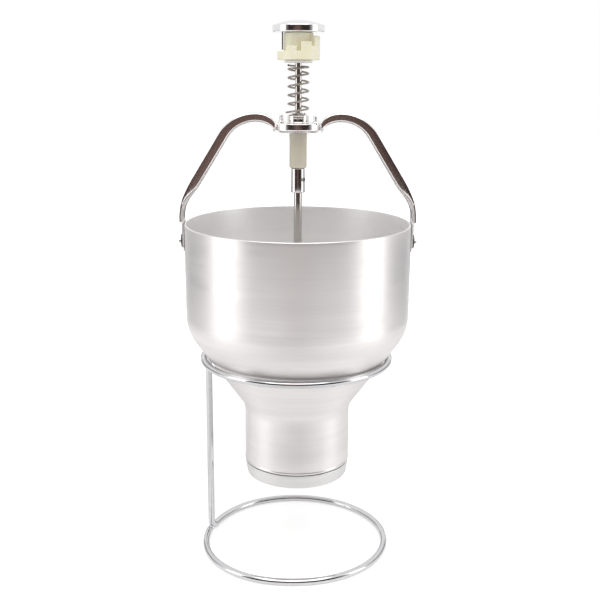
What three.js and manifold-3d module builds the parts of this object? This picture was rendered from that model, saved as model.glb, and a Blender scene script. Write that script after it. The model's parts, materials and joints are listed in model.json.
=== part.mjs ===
// Pancake batter dispenser: a spun hopper with a handle, a spring-loaded plunger
// with a stepped size selector, and the wire stand that the hopper sits in.
// Millimetres, +Z up, X along the handle. The origin is on the floor, on the plunger's axis.

import * as THREE from 'three';
import { mergeVertices } from 'three/addons/utils/BufferGeometryUtils.js';
import Module from 'manifold-3d';

const wasm = await Module();
wasm.setup();

// Clearances
const seat_gap = 0.3;
const running_gap = 0.3;
const press_gap = 0.15;
const overrun = 2;

// Roundness, as counts
const large_sides = 48;
const ring_steps = 60;
const wire_sides = 8;
const small_sides = 16;

// Wire stand
const wire_radius = 3.15;
const ring_radius = 84.2;
const support_ring_height = 184.8;
const post_angle = 169;
const post_bend_radius = 10;
const ring_end_gap_angle = 0.8;
const weld_radius = 3.5;

// Spun hopper, outer sizes
const hopper_radius = 100;
const hopper_wall = 1.6;
const straight_wall_height = 81.7;
const corner_radius = 40;
const cone_angle = 35.7;
const neck_radius = 47.9;
const neck_fillet_radius = 20.6;
const hopper_height = 220.5;
const rim_rounding = 0.5;

// Outlet cap, liner and seal at the neck's end
const seal_thickness = 0.8;
const cap_band_height = 12.5;
const cap_taper = 1.9;
const cap_edge_rounding = 0.8;
const cap_spigot_height = 16.5;
const cap_spigot_wall = 2;
const liner_bore_radius = 28;
const liner_wall = 2;
const liner_height = 10.5;

// Handle
const plate_rise = 83.7;
const plate_radius = 22.4;
const plate_thickness = 7.5;
const plate_edge_rounding = 0.9;
const arm_width = 19;
const arch_thickness = 7.5;
const slope_thickness = 8.8;
const arm_outer_rounding = 1.1;
const arm_inner_rounding = 2.7;
const arm_root_reach = 8;
const shoulder_reach = 17;
const shoulder_depth = 11;
const arch_rise = 7.6;
const arch_reach = 36.5;
const arch_radius = 33.3;
const arm_slope_angle = 58.4;
const arm_bend_radius = 38;
const arm_foot_thickness = 3.6;
const lug_thickness = 1.8;
const lug_shoulder_rise = 1.2;
const lug_shoulder_height = 1.6;
const pivot_drop = 17.1;
const lug_end_radius = 9.3;
const arm_taper_length = 26;

// Handle pivots
const pivot_pin_radius = 1.9;
const pivot_head_radius = 4.6;
const pivot_head_height = 1.9;
const pivot_pin_proud = 2.8;
const retainer_radius = 6.1;
const retainer_thickness = 0.9;

// Guide bush and sleeve
const upper_rod_radius = 2.9;
const bush_head_radius = 9.6;
const bush_head_height = 4.9;
const bush_groove_depth = 0.6;
const bush_groove_height = 0.9;
const bush_cone_height = 2.4;
const bush_seat_radius = 8.3;
const bush_spigot_radius = 5.6;
const bush_spigot_depth = 9;
const sleeve_radius = 7.65;
const sleeve_length = 31.6;

// Screws in the two bosses of the handle plate
const boss_circle_radius = 20;
const boss_angle = -42;
const boss_radius = 4.1;
const boss_proud = 0.6;
const plate_screw_radius = 1.9;
const plate_screw_height = 5.6;

// Return spring
const spring_wire_radius = 0.8;
const spring_mean_radius = 8.65;
const spring_length = 39.6;
const spring_turns = 6;
const spring_end_turns = 1;
const spring_end_pitch = 3.2;
const steps_per_turn = 8;
const spring_sides = 5;
const spring_end_angle = 180;

// Spring washer and size selector
const washer_radius = 12;
const washer_thickness = 2;
const selector_radius = 18.2;
const selector_core_radius = 12.6;
const selector_core_height = 22.1;
const lowest_tread_height = 7.3;
const tread_rise = 4.1;
const tread_angle = 42;
const slot_angle = 12;
const first_riser_angle = -125;
const tread_count = 4;
const top_tread_angle = 113;
const pin_to_tread_gap = 1;

// Press knob and its pin
const knob_radius = 22.4;
const knob_rim_height = 5.7;
const knob_dome_height = 4.6;
const knob_clearance = 1.1;
const knob_pin_radius = 0.65;
const knob_pin_circle_radius = 14.3;
const knob_pin_angle = -161;
const knob_pin_depth = 3;
const knob_socket_depth = 6;

// Coupling and lower rod
const coupling_radius = 6.3;
const coupling_length = 21.4;
const coupling_edge = 0.7;
const upper_rod_grip = 7.2;
const lower_rod_radius = 3.6;
const lower_rod_grip = 13;
const coupling_screw_radius = 1.9;
const coupling_screw_proud = 0.9;
const coupling_screw_angle = -42;
const coupling_screw_height = 11.7;

// Plunger head
const press_stroke = 17.5;
const disc_inset = 0.6;
const disc_thickness = 3;
const piston_thickness = 5;
const piston_edge_rounding = 1;
const spacer_radius = 6;
const nut_across_flats = 12;
const nut_height = 4.5;
const end_nut_height = 4.2;

// Levels above the floor, each from the piece below it
const base_wire_height = wire_radius * Math.cos(Math.PI / wire_sides);
const cone = THREE.MathUtils.degToRad(cone_angle);
const corner_centre_radius = hopper_radius - corner_radius;
const cone_top_radius = corner_centre_radius + corner_radius * Math.cos(cone);
const cone_top_depth = straight_wall_height + corner_radius * Math.sin(cone);
const ring_contact = (ring_radius - cone_top_radius) * Math.cos(cone) - wire_radius - seat_gap;
const rim_height = support_ring_height + cone_top_depth - ring_contact / Math.sin(cone);
const neck_end_height = rim_height - hopper_height;
const cap_shoulder_height = neck_end_height - seal_thickness - 2 * press_gap;
const outlet_height = cap_shoulder_height - cap_band_height;
const pivot_height = rim_height - pivot_drop;
const lug_shoulder_top = rim_height + lug_shoulder_rise;
const plate_height = rim_height + plate_rise;
const plate_top = plate_height + plate_thickness / 2;
const plate_bottom = plate_height - plate_thickness / 2;
const bush_bottom = plate_top + seat_gap;
const bush_top = bush_bottom + bush_head_height + bush_cone_height;
const spring_bottom = bush_top + seat_gap + spring_wire_radius;
const spring_top = spring_bottom + spring_length;
const washer_bottom = spring_top + spring_wire_radius + seat_gap;
const selector_bottom = washer_bottom + washer_thickness + seat_gap;
const knob_bottom = selector_bottom + selector_core_height + knob_clearance;
const sleeve_top = plate_bottom - seat_gap;
const sleeve_bottom = sleeve_top - sleeve_length;
const coupling_top = sleeve_bottom - seat_gap;
const coupling_bottom = coupling_top - coupling_length;
const disc_bottom = outlet_height + disc_inset;
const disc_top = disc_bottom + disc_thickness;
const piston_bottom = disc_bottom + press_stroke;
const piston_top = piston_bottom + piston_thickness;
const neck_inner_radius = neck_radius - hopper_wall;

// Finishes
function finish(colour, roughness, metalness) {
  return new THREE.MeshStandardMaterial({ color: colour, roughness, metalness });
}
const spun_aluminium = finish(0xd6d6d8, 0.38, 1);
const cast_aluminium = finish(0xc9c9cb, 0.22, 1);
const chrome = finish(0xd0d0d2, 0.12, 1);
const steel = finish(0xb4b2ae, 0.25, 1);
const cream_plastic = finish(0xf0e7c8, 0.45, 0);
const grey_plastic = finish(0xc9c1ae, 0.5, 0);
const white_plastic = finish(0xf3f1ea, 0.45, 0);
const dark_rubber = finish(0x3a3836, 0.8, 0);

const dispenser = new THREE.Group();

function addPiece(name, geometry, material) {
  const mesh = new THREE.Mesh(geometry, material);
  mesh.name = name;
  dispenser.add(mesh);
}

// A closed body from rings of points: walls between rings, flat caps or a closed loop
function skinRings(rings, closed = false) {
  const sides = rings[0].length;
  const positions = rings.flat().flatMap((point) => [point.x, point.y, point.z]);
  const faces = [];
  const spans = closed ? rings.length : rings.length - 1;
  for (let i = 0; i < spans; i += 1) {
    const here = i * sides;
    const next = ((i + 1) % rings.length) * sides;
    for (let j = 0; j < sides; j += 1) {
      const k = (j + 1) % sides;
      faces.push(here + j, next + j, next + k);
      faces.push(here + j, next + k, here + k);
    }
  }
  if (!closed) {
    const last = (rings.length - 1) * sides;
    for (let j = 1; j < sides - 1; j += 1) {
      faces.push(0, j, j + 1);
      faces.push(last, last + j + 1, last + j);
    }
  }
  const geometry = new THREE.BufferGeometry();
  geometry.setAttribute('position', new THREE.Float32BufferAttribute(positions, 3));
  geometry.setIndex(faces);
  return facedOutward(geometry);
}

// Turns the faces round when the body's signed volume is negative
function facedOutward(geometry) {
  const index = geometry.index;
  const position = geometry.attributes.position;
  const a = new THREE.Vector3();
  const b = new THREE.Vector3();
  const c = new THREE.Vector3();
  let volume = 0;
  for (let i = 0; i < index.count; i += 3) {
    a.fromBufferAttribute(position, index.getX(i));
    b.fromBufferAttribute(position, index.getX(i + 1));
    c.fromBufferAttribute(position, index.getX(i + 2));
    volume += a.dot(b.cross(c));
  }
  if (volume < 0) {
    for (let i = 0; i < index.count; i += 3) {
      const first = index.getX(i);
      index.setX(i, index.getX(i + 1));
      index.setX(i + 1, first);
    }
  }
  return geometry;
}

// A body of revolution about Z. The profile is a list of [radius, height]
function turned(profile, sides, closed = false) {
  const rings = profile.map(([radius, height]) => circleRing(radius, height, sides));
  return skinRings(rings, closed);
}

function circleRing(radius, height, sides) {
  const ring = [];
  for (let j = 0; j < sides; j += 1) {
    const angle = (2 * Math.PI * j) / sides;
    ring.push(new THREE.Vector3(radius * Math.cos(angle), radius * Math.sin(angle), height));
  }
  return ring;
}

// Points of an arc, [radius, height], from one angle to another in degrees
function arc(centre_radius, centre_height, radius, from, to, steps) {
  const points = [];
  for (let i = 0; i <= steps; i += 1) {
    const angle = THREE.MathUtils.degToRad(from + ((to - from) * i) / steps);
    points.push([centre_radius + radius * Math.cos(angle), centre_height + radius * Math.sin(angle)]);
  }
  return points;
}

// A round bar along a list of points, its section kept level with the first one
function wireAlong(points, radius, sides, closed = false) {
  const up = new THREE.Vector3(0, 0, 1);
  const rings = [];
  for (let i = 0; i < points.length; i += 1) {
    const before = points[closed ? (i - 1 + points.length) % points.length : Math.max(i - 1, 0)];
    const after = points[closed ? (i + 1) % points.length : Math.min(i + 1, points.length - 1)];
    const along = after.clone().sub(before).normalize();
    const level = up.clone().addScaledVector(along, -up.dot(along)).normalize();
    const across = along.clone().cross(level);
    const ring = [];
    for (let j = 0; j < sides; j += 1) {
      const angle = (2 * Math.PI * (j + 1 / 2)) / sides - Math.PI / 2;
      const point = points[i].clone();
      point.addScaledVector(across, radius * Math.cos(angle));
      point.addScaledVector(level, radius * Math.sin(angle));
      ring.push(point);
    }
    rings.push(ring);
    up.copy(level);
  }
  return skinRings(rings, closed);
}

function toSolid(geometry) {
  const plain = geometry.clone();
  plain.deleteAttribute('normal');
  plain.deleteAttribute('uv');
  const merged = mergeVertices(plain);
  const mesh = new wasm.Mesh({
    numProp: 3,
    vertProperties: new Float32Array(merged.attributes.position.array),
    triVerts: new Uint32Array(merged.index.array),
  });
  return new wasm.Manifold(mesh);
}

function toGeometry(solid) {
  const mesh = solid.getMesh();
  const geometry = new THREE.BufferGeometry();
  geometry.setAttribute('position', new THREE.Float32BufferAttribute(mesh.vertProperties, 3));
  geometry.setIndex(new THREE.Uint32BufferAttribute(mesh.triVerts, 1));
  return geometry;
}

// An upright rod between two heights
function rodGeometry(radius, bottom, top, sides) {
  return turned([[radius, bottom], [radius, top]], sides);
}

// A rod along X between two places
function crossRod(radius, from, to, height, sides) {
  const geometry = rodGeometry(radius, from, to, sides);
  geometry.rotateY(Math.PI / 2);
  geometry.translate(0, 0, height);
  return geometry;
}

function moved(geometry, x, y, z) {
  geometry.translate(x, y, z);
  return geometry;
}

function onCircle(radius, degrees) {
  const angle = THREE.MathUtils.degToRad(degrees);
  return new THREE.Vector2(radius * Math.cos(angle), radius * Math.sin(angle));
}

// Stand: one wire runs round the base, turns up into the post and carries the support ring
function ringPoints(radius, height, from, to, steps) {
  const points = [];
  for (let i = 0; i <= steps; i += 1) {
    const place = onCircle(radius, from + ((to - from) * i) / steps);
    points.push(new THREE.Vector3(place.x, place.y, height));
  }
  return points;
}

function baseWire() {
  const bend_angle = THREE.MathUtils.radToDeg(post_bend_radius / ring_radius);
  const run_end = post_angle - bend_angle;
  const run_start = post_angle + ring_end_gap_angle - 360;
  const points = ringPoints(ring_radius, base_wire_height, run_start, run_end, ring_steps);
  points.reverse();
  const foot = points[0];
  const heading = new THREE.Vector3(-foot.y, foot.x, 0).normalize();
  const bend_steps = 6;
  const bend = [];
  for (let i = 1; i <= bend_steps; i += 1) {
    const turn = ((Math.PI / 2) * i) / bend_steps;
    const point = foot.clone().addScaledVector(heading, post_bend_radius * Math.sin(turn));
    point.z += post_bend_radius * (1 - Math.cos(turn));
    bend.unshift(point);
  }
  const post_top = bend[0].clone();
  post_top.z = support_ring_height;
  const wire = toSolid(wireAlong([...points.reverse(), ...bend.reverse(), post_top], wire_radius, wire_sides));
  const butt = onCircle(ring_radius, run_start);
  const weld = new THREE.SphereGeometry(weld_radius, wire_sides, wire_sides);
  const weld_height = weld_radius;
  const welded = wire.add(toSolid(moved(weld, butt.x, butt.y, weld_height)));
  const ring_room = toSolid(supportRing(wire_radius + seat_gap));
  return toGeometry(welded.subtract(ring_room));
}

function supportRing(radius) {
  const points = ringPoints(ring_radius, support_ring_height, 0, 360, ring_steps);
  points.pop();
  return wireAlong(points, radius, wire_sides, true);
}

addPiece('base_wire', baseWire(), chrome);
addPiece('support_ring', supportRing(wire_radius), chrome);

// Hopper: straight wall, rounded corner, cone and neck, spun from one sheet
function hopperOutline(inset) {
  const corner_depth = rim_height - straight_wall_height;
  const corner = arc(corner_centre_radius, corner_depth, corner_radius - inset, 0, -cone_angle, 5);
  const fillet = neck_fillet_radius + inset;
  const neck = neck_radius - inset;
  const centre = neck_radius + neck_fillet_radius;
  const fillet_end_radius = centre - fillet * Math.cos(cone);
  const cone_start = corner[corner.length - 1];
  const cone_drop = (cone_start[0] - fillet_end_radius) / Math.tan(cone);
  const fillet_height = cone_start[1] - cone_drop - fillet * Math.sin(cone);
  const curve = arc(centre, fillet_height, fillet, 180 - cone_angle, 180, 5);
  return [...corner, ...curve, [neck, neck_end_height]];
}

function hopperShell() {
  const outer = hopperOutline(0);
  const inner = hopperOutline(hopper_wall).reverse();
  const rim = [
    [hopper_radius - hopper_wall, rim_height - rim_rounding],
    [hopper_radius - hopper_wall + rim_rounding, rim_height],
    [hopper_radius - rim_rounding, rim_height],
    [hopper_radius, rim_height - rim_rounding],
  ];
  const shell = toSolid(turned([...rim, ...outer, ...inner], large_sides, true));
  const reach = hopper_radius + overrun;
  const holes = toSolid(crossRod(pivot_pin_radius + press_gap, -reach, reach, pivot_height, small_sides));
  return toGeometry(shell.subtract(holes));
}

addPiece('hopper_shell', hopperShell(), spun_aluminium);

// Outlet: seal, cap with a conical floor, and the liner that meters the batter
function outletCap() {
  const bore = liner_bore_radius + liner_wall + press_gap;
  const spigot = neck_inner_radius - press_gap;
  const spigot_top = cap_shoulder_height + cap_spigot_height;
  const floor_height = outlet_height + liner_height;
  const band_bottom_radius = neck_radius - cap_taper;
  return turned([
    [neck_radius, cap_shoulder_height],
    [band_bottom_radius, outlet_height + cap_edge_rounding],
    [band_bottom_radius - cap_edge_rounding, outlet_height],
    [bore, outlet_height],
    [bore, floor_height],
    [spigot - cap_spigot_wall, spigot_top],
    [spigot, spigot_top],
    [spigot, cap_shoulder_height],
  ], large_sides, true);
}

function ringGeometry(inner, outer, bottom, top, sides) {
  return turned([[outer, bottom], [outer, top], [inner, top], [inner, bottom]], sides, true);
}

const seal_bottom = cap_shoulder_height + press_gap;
const seal_bore = neck_inner_radius + press_gap;
const liner_outer = liner_bore_radius + liner_wall;
const liner_top = outlet_height + liner_height;
const seal_top = seal_bottom + seal_thickness;
addPiece('cap_seal', ringGeometry(seal_bore, neck_radius, seal_bottom, seal_top, large_sides), dark_rubber);
addPiece('outlet_cap', outletCap(), cast_aluminium);
addPiece('outlet_liner',
  ringGeometry(liner_bore_radius, liner_outer, outlet_height, liner_top, large_sides), steel);

// Handle: a round plate over the hopper with an arched arm down to each side of the rim.
// The middle line of an arm leaves the plate, climbs a shoulder, which is a part of an ellipse, and
// goes on as the arch, the slope, the bend and the lug
function armPath() {
  const slope = THREE.MathUtils.degToRad(arm_slope_angle);
  const foot_centre = hopper_radius + seat_gap + arm_foot_thickness / 2;
  const lug_centre = hopper_radius + seat_gap + lug_thickness / 2;
  const points = [];
  const shoulder_steps = 6;
  const shoulder_start = Math.asin(1 - arch_rise / shoulder_depth);
  const arch_top = plate_height + arch_rise;
  points.push(new THREE.Vector2(arm_root_reach, plate_height));
  for (let i = 0; i < shoulder_steps; i += 1) {
    const turn = shoulder_start + ((Math.PI / 2 - shoulder_start) * i) / shoulder_steps;
    const reach = arch_reach - shoulder_reach * Math.cos(turn);
    points.push(new THREE.Vector2(reach, arch_top - shoulder_depth * (1 - Math.sin(turn))));
  }
  const arch_centre = arch_top - arch_radius;
  const arch_steps = 6;
  for (let i = 0; i <= arch_steps; i += 1) {
    const turn = (slope * i) / arch_steps;
    const reach = arch_reach + arch_radius * Math.sin(turn);
    points.push(new THREE.Vector2(reach, arch_centre + arch_radius * Math.cos(turn)));
  }
  const arch_end = points[points.length - 1];
  const bend_start_reach = foot_centre - arm_bend_radius * (1 - Math.sin(slope));
  const fall = (bend_start_reach - arch_end.x) * Math.tan(slope);
  const bend_centre = new THREE.Vector2(foot_centre - arm_bend_radius, 0);
  bend_centre.y = arch_end.y - fall - arm_bend_radius * Math.cos(slope);
  const straight_steps = 3;
  for (let i = 1; i < straight_steps; i += 1) {
    const share = i / straight_steps;
    const reach = arch_end.x + (bend_start_reach - arch_end.x) * share;
    points.push(new THREE.Vector2(reach, arch_end.y - fall * share));
  }
  const bend_steps = 5;
  for (let i = 0; i <= bend_steps; i += 1) {
    const turn = (Math.PI / 2 - slope) * (1 - i / bend_steps);
    const point = new THREE.Vector2(arm_bend_radius * Math.cos(turn), arm_bend_radius * Math.sin(turn));
    points.push(point.add(bend_centre));
  }
  points.push(new THREE.Vector2(foot_centre, lug_shoulder_top));
  points.push(new THREE.Vector2(lug_centre, lug_shoulder_top - lug_shoulder_height));
  points.push(new THREE.Vector2(lug_centre, pivot_height));
  const end_steps = 5;
  for (let i = 1; i <= end_steps; i += 1) {
    const turn = ((Math.PI / 2) * i) / (end_steps + 1 / 4);
    points.push(new THREE.Vector2(lug_centre, pivot_height - lug_end_radius * Math.sin(turn)));
  }
  return points;
}

// Half width of the arm: the last stretch rounds off about the pivot
function armHalfWidth(height) {
  const below = pivot_height - height;
  if (below <= 0) {
    const share = Math.min(-below / arm_taper_length, 1);
    return lug_end_radius + (arm_width / 2 - lug_end_radius) * share;
  }
  return Math.sqrt(Math.max(lug_end_radius * lug_end_radius - below * below, 0));
}

// The arm is thickest on its slope and thins towards the lug and the plate
function armThickness(reach, height) {
  if (reach < arch_reach) {
    return arch_thickness;
  }
  if (height < lug_shoulder_top) {
    return lug_thickness;
  }
  const lug_top = pivot_height + arm_taper_length;
  const upper = THREE.MathUtils.clamp((plate_height + arch_rise - height) / arch_radius * 2, 0, 1);
  const thick = arch_thickness + (slope_thickness - arch_thickness) * upper;
  const lower = THREE.MathUtils.clamp((height - lug_top) / arm_taper_length, 0, 1);
  return arm_foot_thickness + (thick - arm_foot_thickness) * lower;
}

// Section of the arm as [across, through], with a soft inner edge and a sharper outer one
function armSection(half_width, thickness) {
  const share = thickness / slope_thickness;
  const outer = Math.min(arm_outer_rounding * share, half_width);
  const inner = Math.min(arm_inner_rounding * share, half_width);
  const diagonal = 1 - Math.SQRT1_2;
  const top = thickness / 2;
  const half = [
    [half_width - outer, top],
    [half_width, top - outer],
    [half_width, inner - top],
    [half_width - inner * diagonal, inner * diagonal - top],
    [half_width - inner, -top],
  ];
  const other = half.map(([across, through]) => [-across, through]).reverse();
  return [...half, ...other];
}

// Sections stand square to the middle line, but upright on the shoulder and level at the lug
function handleArm(side) {
  const path = armPath();
  const rings = path.map((point, i) => {
    const before = path[Math.max(i - 1, 0)];
    const after = path[Math.min(i + 1, path.length - 1)];
    const along = after.clone().sub(before).normalize();
    let outward = new THREE.Vector2(-along.y, along.x);
    if (point.x < arch_reach) {
      outward = new THREE.Vector2(0, 1);
    }
    if (point.y <= lug_shoulder_top) {
      outward = new THREE.Vector2(1, 0);
    }
    const section = armSection(armHalfWidth(point.y), armThickness(point.x, point.y));
    return section.map(([across, through]) => new THREE.Vector3(
      side * (point.x + outward.x * through),
      across,
      point.y + outward.y * through,
    ));
  });
  return toSolid(skinRings(rings));
}

function handleBar() {
  const edge = plate_edge_rounding;
  const plate = turned([
    [plate_radius - edge, plate_bottom],
    [plate_radius, plate_bottom + edge],
    [plate_radius, plate_top - edge],
    [plate_radius - edge, plate_top],
  ], large_sides);
  let handle = toSolid(plate).add(handleArm(1)).add(handleArm(-1));
  const cut_bottom = plate_bottom - boss_proud - overrun;
  const cut_top = plate_top + boss_proud + overrun;
  for (const turn of [0, 180]) {
    const place = onCircle(boss_circle_radius, boss_angle + turn);
    const boss = rodGeometry(boss_radius, plate_bottom - boss_proud, plate_top + boss_proud, small_sides);
    handle = handle.add(toSolid(moved(boss, place.x, place.y, 0)));
    const hole = rodGeometry(plate_screw_radius + press_gap, cut_bottom, cut_top, small_sides);
    handle = handle.subtract(toSolid(moved(hole, place.x, place.y, 0)));
  }
  const bore = rodGeometry(bush_spigot_radius + press_gap, cut_bottom, cut_top, small_sides);
  handle = handle.subtract(toSolid(bore));
  const flat = rodGeometry(bush_head_radius + running_gap, plate_top, cut_top, small_sides);
  handle = handle.subtract(toSolid(flat));
  const reach = hopper_radius + lug_thickness + overrun;
  const pivots = crossRod(pivot_pin_radius + press_gap, -reach, reach, pivot_height, small_sides);
  return toGeometry(handle.subtract(toSolid(pivots)));
}

addPiece('handle_bar', handleBar(), chrome);

// Handle pivots: a pin with its head inside the hopper, held outside by a push-on retainer
function besideLug(shape, side) {
  shape.rotateY(Math.PI / 2);
  shape.translate(0, 0, pivot_height);
  if (side < 0) {
    shape.rotateZ(Math.PI);
  }
  return shape;
}

const lug_face = hopper_radius + seat_gap + lug_thickness;
const retainer_face = lug_face + press_gap + retainer_thickness;

function pivotPin(side) {
  const wall_inside = hopper_radius - hopper_wall;
  const head_face = Math.sqrt(wall_inside ** 2 - pivot_head_radius ** 2) - seat_gap;
  const pin_end = retainer_face + pivot_pin_proud;
  const edge = pivot_pin_radius / 4;
  const pin = turned([
    [pivot_head_radius / 2, head_face - pivot_head_height],
    [pivot_head_radius, head_face - pivot_head_height / 3],
    [pivot_head_radius, head_face],
    [pivot_pin_radius, head_face],
    [pivot_pin_radius, pin_end - edge],
    [pivot_pin_radius - edge, pin_end],
  ], small_sides);
  return besideLug(pin, side);
}

function pivotRetainer(side) {
  const bore = pivot_pin_radius + press_gap;
  const retainer = ringGeometry(bore, retainer_radius, lug_face + press_gap, retainer_face, small_sides);
  return besideLug(retainer, side);
}

for (const [word, side] of [['left', -1], ['right', 1]]) {
  addPiece(`pivot_pin_${word}`, pivotPin(side), steel);
  addPiece(`pivot_retainer_${word}`, pivotRetainer(side), steel);
}

// Guide bush through the plate, with a grooved head that carries the spring
function guideBush() {
  const bore = upper_rod_radius + running_gap;
  const groove_bottom = bush_bottom + (bush_head_height - bush_groove_height) / 2;
  const cone_bottom = bush_bottom + bush_head_height;
  return turned([
    [bore, bush_bottom - plate_thickness - bush_spigot_depth],
    [bush_spigot_radius, bush_bottom - plate_thickness - bush_spigot_depth],
    [bush_spigot_radius, bush_bottom],
    [bush_head_radius, bush_bottom],
    [bush_head_radius, groove_bottom],
    [bush_head_radius - bush_groove_depth, groove_bottom],
    [bush_head_radius - bush_groove_depth, groove_bottom + bush_groove_height],
    [bush_head_radius, groove_bottom + bush_groove_height],
    [bush_head_radius, cone_bottom],
    [bush_seat_radius, bush_top],
    [bore, bush_top],
  ], small_sides, true);
}

// Nylon sleeve under the plate: it grips the bush's spigot and guides the rod
function guideSleeve() {
  const bore = upper_rod_radius + running_gap;
  const socket = bush_spigot_radius + press_gap;
  const socket_floor = bush_bottom - plate_thickness - bush_spigot_depth - seat_gap;
  return turned([
    [sleeve_radius, sleeve_bottom],
    [sleeve_radius, sleeve_top],
    [socket, sleeve_top],
    [socket, socket_floor],
    [bore, socket_floor],
    [bore, sleeve_bottom],
  ], small_sides, true);
}

addPiece('guide_bush', guideBush(), cast_aluminium);
addPiece('guide_sleeve', guideSleeve(), grey_plastic);

for (const [word, turn] of [['right', 0], ['left', 180]]) {
  const place = onCircle(boss_circle_radius, boss_angle + turn);
  const top = plate_top + plate_screw_height;
  const edge = plate_screw_radius / 3;
  const screw = turned([
    [plate_screw_radius, plate_bottom],
    [plate_screw_radius, top - edge],
    [plate_screw_radius - edge, top],
  ], small_sides);
  addPiece(`plate_screw_${word}`, moved(screw, place.x, place.y, 0), steel);
}

// Return spring: an open helix whose last turn closes up under the washer
function springPoint(turns) {
  const open_turns = spring_turns - spring_end_turns;
  const end_rise = spring_end_turns * spring_end_pitch;
  const open_pitch = (spring_length - end_rise) / open_turns;
  let height = turns * open_pitch;
  if (turns > open_turns) {
    height = spring_length - (spring_turns - turns) * spring_end_pitch;
  }
  const place = onCircle(spring_mean_radius, spring_end_angle + 360 * turns);
  return new THREE.Vector3(place.x, place.y, spring_bottom + height);
}

function springPoints(steps) {
  const points = [];
  for (let i = 0; i <= spring_turns * steps; i += 1) {
    points.push(springPoint(i / steps));
  }
  return points;
}

// Least gap between turns, over pairs of points that lie over half a turn apart
function springLeastGap() {
  const points = springPoints(steps_per_turn);
  let least = Infinity;
  for (let i = 0; i < points.length; i += 1) {
    for (let j = i + steps_per_turn / 2; j < points.length; j += 1) {
      least = Math.min(least, points[i].distanceTo(points[j]));
    }
  }
  return least - 2 * spring_wire_radius;
}

console.log(`return spring: least gap to itself ${springLeastGap().toFixed(2)} mm`);
addPiece('return_spring',
  wireAlong(springPoints(steps_per_turn), spring_wire_radius, spring_sides), steel);

// Washer between spring and selector, free on the rod
const rod_hole = upper_rod_radius + running_gap;
const washer_top = washer_bottom + washer_thickness;
addPiece('spring_washer',
  ringGeometry(rod_hole, washer_radius, washer_bottom, washer_top, small_sides), white_plastic);

// Size selector: a core with a stair of treads round it; the knob's pin stands on one tread.
// A slot one step deep lies in front of the second and third risers
function treadSector(from, to, bottom, top) {
  const steps = 6;
  const outline = new THREE.Shape();
  const start = onCircle(selector_core_radius / 2, from);
  outline.moveTo(start.x, start.y);
  for (let i = 0; i <= steps; i += 1) {
    const place = onCircle(selector_radius, from + ((to - from) * i) / steps);
    outline.lineTo(place.x, place.y);
  }
  const end = onCircle(selector_core_radius / 2, to);
  outline.lineTo(end.x, end.y);
  const sector = new THREE.ExtrudeGeometry(outline, { depth: top - bottom, bevelEnabled: false });
  return toSolid(moved(sector, 0, 0, bottom));
}

function sizeSelector() {
  const lowest = selector_bottom + lowest_tread_height;
  let block = toSolid(rodGeometry(selector_radius, selector_bottom, lowest, large_sides));
  const core_top = selector_bottom + selector_core_height;
  block = block.add(toSolid(rodGeometry(selector_core_radius, selector_bottom, core_top, large_sides)));
  for (let i = 1; i < tread_count; i += 1) {
    const from = first_riser_angle + (i - 1) * tread_angle;
    const level = lowest + i * tread_rise;
    if (i === tread_count - 1) {
      block = block.add(treadSector(from, from + top_tread_angle, selector_bottom, level));
    } else {
      const slot_start = from + tread_angle - slot_angle;
      block = block.add(treadSector(from, slot_start, selector_bottom, level));
      if (i > 1) {
        block = block.add(treadSector(slot_start, from + tread_angle, selector_bottom, level - tread_rise));
      }
    }
  }
  const bore = rodGeometry(rod_hole, selector_bottom - overrun, core_top + overrun, small_sides);
  return toGeometry(block.subtract(toSolid(bore)));
}

addPiece('size_selector', sizeSelector(), cream_plastic);

// Press knob: a shallow dome on a cylindrical rim, with a socket for the rod and a pin
const dome_ball_radius = (knob_radius ** 2 + knob_dome_height ** 2) / (2 * knob_dome_height);
const knob_rim_top = knob_bottom + knob_rim_height;
const knob_top = knob_rim_top + knob_dome_height;
const pin_place = onCircle(knob_pin_circle_radius, knob_pin_angle);

function domePoints(steps) {
  const centre = knob_top - dome_ball_radius;
  const points = [];
  for (let i = 0; i < steps; i += 1) {
    const radius = knob_radius * (1 - i / steps);
    points.push([radius, centre + Math.sqrt(dome_ball_radius ** 2 - radius ** 2)]);
  }
  return points;
}

function pressKnob() {
  const knob = toSolid(turned([[knob_radius, knob_bottom], ...domePoints(6)], large_sides));
  const socket_top = knob_bottom + knob_socket_depth + seat_gap;
  const socket = rodGeometry(upper_rod_radius + press_gap, knob_bottom - overrun, socket_top, small_sides);
  const hole_top = knob_bottom + knob_pin_depth + seat_gap;
  const hole = rodGeometry(knob_pin_radius + press_gap, knob_bottom - overrun, hole_top, small_sides);
  const hollows = toSolid(socket).add(toSolid(moved(hole, pin_place.x, pin_place.y, 0)));
  return toGeometry(knob.subtract(hollows));
}

const pin_bottom = selector_bottom + lowest_tread_height + pin_to_tread_gap;
const knob_pin = rodGeometry(knob_pin_radius, pin_bottom, knob_bottom + knob_pin_depth, small_sides);
addPiece('press_knob', pressKnob(), chrome);
addPiece('knob_pin', moved(knob_pin, pin_place.x, pin_place.y, 0), steel);

// Rods and the coupling that joins them
const upper_rod_bottom = coupling_top - upper_rod_grip;
const lower_rod_top = coupling_bottom + lower_rod_grip;
const lower_rod_bottom = disc_bottom - end_nut_height - seat_gap;
addPiece('upper_rod',
  rodGeometry(upper_rod_radius, upper_rod_bottom, knob_bottom + knob_socket_depth, small_sides), steel);
addPiece('lower_rod', rodGeometry(lower_rod_radius, lower_rod_bottom, lower_rod_top, small_sides), steel);

function couplingScrewSolid(radius, inner, outer) {
  const screw = crossRod(radius, inner, outer, coupling_bottom + coupling_screw_height, small_sides);
  screw.rotateZ(THREE.MathUtils.degToRad(coupling_screw_angle));
  return screw;
}

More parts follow.
